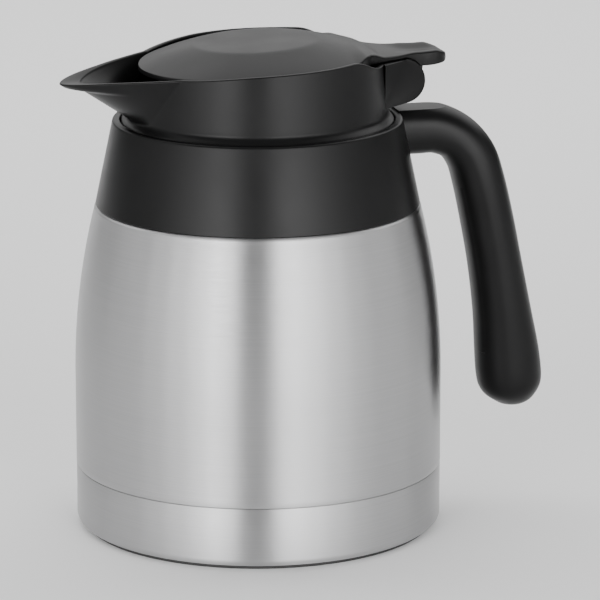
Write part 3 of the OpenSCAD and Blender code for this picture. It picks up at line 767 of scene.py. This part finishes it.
def make_ear(side):
    """Ear in layers from its inner to its outer face, with drawn-in edges and a wide root outside."""
    inner_y = EAR_Y - EAR_T
    layers = [(inner_y, 0.4), (inner_y + 0.4, 0), (EAR_Y - 0.5, 0), (EAR_Y - 0.15, 0.15), (EAR_Y, 0.5)]
    rings = []
    for y, shrink in layers:
        ring = []
        for x, z in ear_outline():
            flare = max(0.0, PIN_X + 1 - x) / (PIN_X + 2 - LID_TOP_R)
            wide = y if y < inner_y + 1 else y + flare * (EAR_ROOT_Y - EAR_Y)
            dx, dz = x - (PIN_X - 2), z - PIN_Z
            pull = shrink / math.hypot(dx, dz) if x > LID_TOP_R - 1 else 0
            ring.append((x - dx * pull, side * wide, z - dz * pull))
        rings.append(ring)
    return loft("ear", rings, 40)


def make_lid():
    lid = make_lid_body()
    combine(lid, "UNION", make_ear(1), make_ear(-1))
    lid.data.set_sharp_from_angle(angle=math.radians(38))
    dress(lid, "lid_body", "lid")


# Flip lid: dome and thumb lever as one height field over its outline


def rim_plane(x):
    return RIM_Z + math.tan(RIM_TILT) * x


def dome_height(x, y):
    """Height of the dome's top over its plane: flat facet, then a side that falls ever faster."""
    r = math.hypot(x - DOME_X, y)
    if r <= FACET_R:
        return FACET_H
    t = (r - FACET_R) / (DOME_R - FACET_R)
    return FACET_H - (FACET_H + DOME_DROP) * (DOME_STRAIGHT * t + (1 - DOME_STRAIGHT) * t * t)


def lever_top(x, y):
    """Top of the lever: its paddle is hollow for the thumb between raised sides."""
    v = min(abs(y) / smooth_at(LEVER_SIDE, x), 1.0)
    raised = THUMB_RISE * smoothstep(THUMB_FROM, THUMB_FULL, x) * smoothstep(LEVER_END, THUMB_UNTIL, x)
    sag = NECK_SAG * v * v * smoothstep(SAG_END, SAG_UNTIL, x)
    return PIN_Z + smooth_at(LEVER_MID, x) + raised * smoothstep(0.15, 0.9, v) - sag


def flip_half_width(x):
    inside = DOME_R ** 2 - (x - DOME_X) ** 2
    dome = math.sqrt(inside) if inside > 0 else 0.0
    if x < LEVER_FROM:
        return dome
    return soft_max(dome, smooth_at(LEVER_SIDE, x), 1.2)


def flip_top(x, y):
    """Top of dome and lever, the one running into the other."""
    dome = rim_plane(x) + dome_height(x, y)
    if x < LEVER_FROM:
        return dome
    lever = lever_top(x, y)
    if x > DOME_END + 2:
        return lever
    blend = lerp(dome, soft_max(dome, lever, 3.0), smoothstep(LEVER_FROM, 35, x))
    return lerp(blend, lever, smoothstep(DOME_END - 3, DOME_END + 2, x))


def flip_bottom(x):
    """Underside: along the dome's edge, then over the ears, then under the paddle."""
    if x > PADDLE_FROM:
        return PIN_Z + smooth_at(LEVER_LOW, x)
    over_ears = PIN_Z + EAR_R
    if x > PIN_X:
        over_ears = PIN_Z + math.sqrt((EAR_R + EAR_GAP) ** 2 - (x - PIN_X) ** 2)
    return lerp(rim_plane(x) - DOME_EDGE, over_ears, smoothstep(DOME_END - 12, DOME_END - 5, x))


def flip_ring(x):
    """Section across the lid at x: over its top, then back along its underside."""
    half = flip_half_width(x)
    end = rounding(LEVER_END - x, EDGE_ROUND)
    top = []
    under = []
    for k in range(ACROSS_STEPS + 1):
        v = -math.cos(math.pi * k / ACROSS_STEPS)
        inset = half * (1 - abs(v))
        top.append((x, half * v, flip_top(x, half * v) - rounding(inset, EDGE_ROUND) - end))
        under.append((x, half * v, flip_bottom(x) + rounding(inset, LOW_EDGE_ROUND) + 0.4 * end))
    return top + under[::-1]


def make_lever_web():
    """Rib under the lever and its knuckle round the pin, between the ears."""
    half = EAR_Y - EAR_T - 0.3
    outline = rounded([
        (PIN_X - 14, PIN_Z + 9.4, 0),
        (PIN_X - 13.4, PIN_Z + 5.7, 0.4),
        (PIN_X - 4.2, PIN_Z + 5.6, 0.6),
        (PIN_X - 4.2, PIN_Z + 1.2, 0),
    ], 4)
    outline += arc(PIN_X, PIN_Z, KNUCKLE_R, 175, 303, 16)
    outline += [(PIN_X + 8.2, PIN_Z + 2.6), (PIN_X + 8.8, PIN_Z + 7.2), (PIN_X, PIN_Z + 9.4)]
    return loft("web", [[(x, y, z) for x, z in outline] for y in (-half, half)], 30)


def make_flip_lid():
    """Sections lie close together at the dome's front and at the lever's end."""
    turns = [math.pi / 2 * k / ALONG_STEPS for k in range(1, ALONG_STEPS + 1)]
    stations = [lerp(DOME_X - DOME_R, LEVER_FROM, 1 - math.cos(a)) for a in turns]
    stations += [lerp(LEVER_FROM, LEVER_END, math.sin(a)) for a in turns]
    lid = loft("flip_top", [flip_ring(x) for x in stations], 35)
    combine(lid, "UNION", make_lever_web())
    lid.data.set_sharp_from_angle(angle=math.radians(35))
    dress(lid, "flip_lid", "flip")


# Handle: sections along a bent line, flat on top of its arm


def through(p, q, r, s, t):
    """Value between q and r on the smooth curve that runs through p, q, r and s."""
    square = 2 * p - 5 * q + 4 * r - s
    cube = 3 * q - p - 3 * r + s
    return 0.5 * (2 * q + (r - p) * t + square * t * t + cube * t ** 3)


def row_at(u):
    """Smooth curve through the rows of the handle."""
    i = min(int(u), LAST_ROW - 1)
    rows = [HANDLE_ROWS[k] for k in (max(i - 1, 0), i, i + 1, min(i + 2, LAST_ROW))]
    return [through(*values, u - i) for values in zip(*rows)]


def row_normal(u):
    """Direction across the handle's line at u, away from the body on the grip."""
    before = row_at(max(u - 0.05, 0))
    after = row_at(min(u + 0.05, LAST_ROW))
    tx, tz = after[0] - before[0], after[1] - before[1]
    size = math.hypot(tx, tz)
    return -tz / size, tx / size


def power(v, e):
    return math.copysign(abs(v) ** e, v)


def handle_ring(u):
    """Section of the handle at u, between an ellipse and a rectangle."""
    x, z, depth, width, square = row_at(u)
    nx, nz = row_normal(u)
    ring = []
    for k in range(HANDLE_SIDES):
        a = 2 * math.pi * k / HANDLE_SIDES
        d = depth * power(math.cos(a), square)
        w = width * power(math.sin(a), square)
        ring.append((x + nx * d, w, z + nz * d))
    return ring


def inlay_ring(u, grow, proud):
    """Section of the inlay at u: twelve steps along the handle's own curve, then the flat back."""
    x, z, depth, width, square = row_at(u)
    nx, nz = row_normal(u)
    half = INLAY_HALF + grow
    ring = []
    for j in range(13):
        w = half * (j / 6 - 1)
        edge = INLAY_EDGE if j in (0, 12) else 0.0
        d = depth * (1 - (abs(w) / width) ** (2 / square)) ** (square / 2) + proud - edge
        ring.append((x - nx * d, w, z - nz * d))
    deep = depth - INLAY_T - grow
    return ring + [(x - nx * deep, w, z - nz * deep) for w in (half, -half)]


def inlay_slab(name, grow, proud):
    """Slab along the grip's inner side."""
    ends = grow / ROW_GAP
    places = spread(INLAY_FROM - ends, INLAY_TO + ends, 40)
    return loft(name, [inlay_ring(u, grow, proud) for u in places], 30)


def cut_flat(obj, height):
    """Takes away what stands above the height and closes the cut."""
    bm = bmesh.new()
    bm.from_mesh(obj.data)
    geometry = bm.verts[:] + bm.edges[:] + bm.faces[:]
    cut = bmesh.ops.bisect_plane(bm, geom=geometry, plane_co=(0, 0, height * MM), plane_no=(0, 0, 1),
                                 clear_outer=True)
    edges = [e for e in cut["geom_cut"] if isinstance(e, bmesh.types.BMEdge)]
    bmesh.ops.contextual_create(bm, geom=edges)
    bm.to_mesh(obj.data)
    bm.free()


def make_handle():
    places = [i / HANDLE_STEPS for i in range(LAST_ROW * HANDLE_STEPS + 1)]
    handle = loft("side_handle", [handle_ring(u) for u in places], 30)
    cut_flat(handle, ARM_TOP)
    combine(handle, "DIFFERENCE", inlay_slab("pocket", POCKET_GAP, POCKET_OUT))
    handle.data.set_sharp_from_angle(angle=math.radians(20))
    dress(handle, "handle", "carafe")
    dress(inlay_slab("grip_inlay", 0.0, 0.0), "handle_inlay", "carafe")


make_steel_wall()
make_base_cup()
make_foot()
make_collar()
make_lid()
make_flip_lid()
make_handle()


# Stage, light and camera; places here are in metres unless a name says millimetres

FLOOR_HALF = 6.0
FLOOR_COLOR = (0.9, 0.9, 0.9)
WORLD_STRENGTH = 0.1

CAMERA_MM = (-404.8, -1510.7, 477.9)
CAMERA_PITCH = 0.2471
CAMERA_HEADING = math.radians(15.567)
CAMERA_SENSOR = 36.0
PHOTO_SIZE = 600
FOCAL_PX = 4378.14

# Points that the lights look at: the middle of the body, and the floor behind the carafe
BODY_MIDDLE = (0, 0, 0.09)
BACKDROP = (0.24, 0.87, 0.0)
# Upright panels round the carafe: azimuth from the camera's side in degrees, and radiance
SIDE_LIGHTS = [(-98, 0.4), (-82, 0.8), (-66, 2.0), (-50, 4.0), (-34, 7.2), (-21, 9.4),
               (19, 10.2), (34, 7.4), (50, 4.2), (66, 2.0), (82, 1.0), (98, 0.6)]
# Each panel's name, azimuth, elevation, distance, size, radiance and target
PANELS = [("side", turn, 10, 1.5, (0.42, 0.72), glow, BODY_MIDDLE) for turn, glow in SIDE_LIGHTS] + [
    ("overhead", 0, 88, 1.6, (2.0, 2.0), 0.2, BODY_MIDDLE),
    ("behind", 180, 17, 2.0, (2.6, 0.8), 1.0, BODY_MIDDLE),
    ("backdrop_middle", 0, 90, 1.0, (3.2, 1.6), 0.9, BACKDROP),
    ("backdrop_left", -90, 60, 1.4, (1.6, 1.6), 1.3, BACKDROP),
    ("backdrop_right", 90, 60, 1.4, (1.6, 1.6), 1.3, BACKDROP),
]


def make_floor():
    s = FLOOR_HALF
    mesh = bpy.data.meshes.new("floor")
    mesh.from_pydata([(-s, -s, 0), (s, -s, 0), (s, s, 0), (-s, s, 0)], [], [(0, 1, 2, 3)])
    floor = bpy.data.objects.new("floor", mesh)
    bpy.context.scene.collection.objects.link(floor)
    mesh.materials.append(plain_material("floor", FLOOR_COLOR, 0.6))


def make_world():
    world = bpy.data.worlds.new("studio")
    world.use_nodes = True
    background = world.node_tree.nodes["Background"]
    background.inputs["Color"].default_value = (1, 1, 1, 1)
    background.inputs["Strength"].default_value = WORLD_STRENGTH
    bpy.context.scene.world = world


def make_panel(name, azimuth, elevation, distance, size, radiance, target):
    """Soft light that looks at the target from a direction; azimuth 0 is the camera's side."""
    a = math.radians(azimuth) - CAMERA_HEADING
    e = math.radians(elevation)
    away = Vector((math.sin(a) * math.cos(e), -math.cos(a) * math.cos(e), math.sin(e)))
    data = bpy.data.lights.new(name, "AREA")
    data.shape = "RECTANGLE"
    data.size, data.size_y = size
    data.energy = radiance * math.pi * size[0] * size[1]
    obj = bpy.data.objects.new(name, data)
    obj.location = Vector(target) + away * distance
    obj.rotation_mode = "QUATERNION"
    obj.rotation_quaternion = (-away).to_track_quat("-Z", "Y")
    bpy.context.scene.collection.objects.link(obj)


def make_camera():
    data = bpy.data.cameras.new("camera")
    data.sensor_width = CAMERA_SENSOR
    data.lens = FOCAL_PX / PHOTO_SIZE * CAMERA_SENSOR
    data.clip_start = 0.05
    data.clip_end = 50
    camera = bpy.data.objects.new("camera", data)
    camera.location = [c * MM for c in CAMERA_MM]
    camera.rotation_euler = (math.pi / 2 - CAMERA_PITCH, 0, -CAMERA_HEADING)
    bpy.context.scene.collection.objects.link(camera)
    bpy.context.scene.camera = camera


make_floor()
make_world()
for values in PANELS:
    make_panel(*values)
make_camera()
